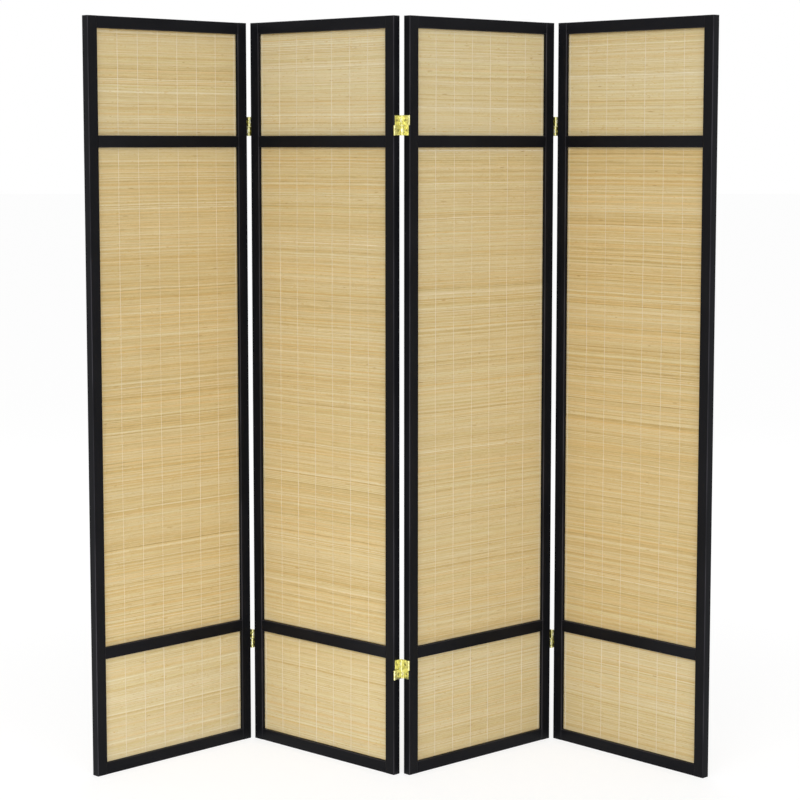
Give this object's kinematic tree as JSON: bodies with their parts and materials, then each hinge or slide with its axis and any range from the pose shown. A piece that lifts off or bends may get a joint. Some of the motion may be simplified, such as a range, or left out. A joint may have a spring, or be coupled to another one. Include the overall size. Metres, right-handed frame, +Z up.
{
  "type": "folding room divider",
  "caption": "Free-standing folding screen of tall black wooden frames filled with natural matchstick bamboo mats, joined edge to edge by brass double-action hinges.",
  "frame": {"origin": "middle of the bounding box on the floor, in the zigzag stance", "axes": "+Z up along the stiles, -Y toward the viewer, +X to the viewer's right along the row of panels"},
  "size_m": [1.4544, 0.373, 1.78],
  "materials": {
    "frame_lacquer": "satin black lacquer over wood",
    "bamboo_mat": "natural split bamboo matchsticks tied with off-white thread",
    "hinge_brass": "bright brass plating",
    "screw_brass": "bright brass plating"
  },
  "bodies": {
    "panel_1": {"panel_1_left_stile": "frame_lacquer", "panel_1_right_stile": "frame_lacquer", "panel_1_bottom_rail": "frame_lacquer", "panel_1_lower_rail": "frame_lacquer", "panel_1_upper_rail": "frame_lacquer", "panel_1_top_rail": "frame_lacquer", "panel_1_bottom_mat": "bamboo_mat", "panel_1_middle_mat": "bamboo_mat", "panel_1_top_mat": "bamboo_mat", "seam_1_left_plates": "hinge_brass", "seam_1_left_pins": "hinge_brass", "seam_1_left_screws": "screw_brass", "seam_1_upper_links": "hinge_brass"},
    "panel_2": {"panel_2_left_stile": "frame_lacquer", "panel_2_right_stile": "frame_lacquer", "panel_2_bottom_rail": "frame_lacquer", "panel_2_lower_rail": "frame_lacquer", "panel_2_upper_rail": "frame_lacquer", "panel_2_top_rail": "frame_lacquer", "panel_2_bottom_mat": "bamboo_mat", "panel_2_middle_mat": "bamboo_mat", "panel_2_top_mat": "bamboo_mat", "seam_1_right_plates": "hinge_brass", "seam_1_right_pins": "hinge_brass", "seam_1_right_screws": "screw_brass", "seam_1_lower_links": "hinge_brass", "seam_2_left_plates": "hinge_brass", "seam_2_left_pins": "hinge_brass", "seam_2_left_screws": "screw_brass", "seam_2_lower_links": "hinge_brass"},
    "panel_3": {"panel_3_left_stile": "frame_lacquer", "panel_3_right_stile": "frame_lacquer", "panel_3_bottom_rail": "frame_lacquer", "panel_3_lower_rail": "frame_lacquer", "panel_3_upper_rail": "frame_lacquer", "panel_3_top_rail": "frame_lacquer", "panel_3_bottom_mat": "bamboo_mat", "panel_3_middle_mat": "bamboo_mat", "panel_3_top_mat": "bamboo_mat", "seam_2_right_plates": "hinge_brass", "seam_2_right_pins": "hinge_brass", "seam_2_right_screws": "screw_brass", "seam_2_upper_links": "hinge_brass", "seam_3_left_plates": "hinge_brass", "seam_3_left_pins": "hinge_brass", "seam_3_left_screws": "screw_brass", "seam_3_upper_links": "hinge_brass"},
    "panel_4": {"panel_4_left_stile": "frame_lacquer", "panel_4_right_stile": "frame_lacquer", "panel_4_bottom_rail": "frame_lacquer", "panel_4_lower_rail": "frame_lacquer", "panel_4_upper_rail": "frame_lacquer", "panel_4_top_rail": "frame_lacquer", "panel_4_bottom_mat": "bamboo_mat", "panel_4_middle_mat": "bamboo_mat", "panel_4_top_mat": "bamboo_mat", "seam_3_right_plates": "hinge_brass", "seam_3_right_pins": "hinge_brass", "seam_3_right_screws": "screw_brass", "seam_3_lower_links": "hinge_brass"}
  },
  "joints": [
    {"name": "seam_1_fold", "type": "hinge", "parent": "panel_2", "child": "panel_1", "pos_m": [-0.37065, 0.16618, 0], "axis": [0, 0, 1], "range_deg": [-88.15, 90.85]},
    {"name": "seam_2_fold", "type": "hinge", "parent": "panel_2", "child": "panel_3", "pos_m": [0.00367, -0.1488, 0], "axis": [0, 0, 1], "range_deg": [-85.6, 93.4]},
    {"name": "seam_3_fold", "type": "hinge", "parent": "panel_3", "child": "panel_4", "pos_m": [0.37964, 0.16421, 0], "axis": [0, 0, 1], "range_deg": [-89.6, 89.4]}
  ]
}
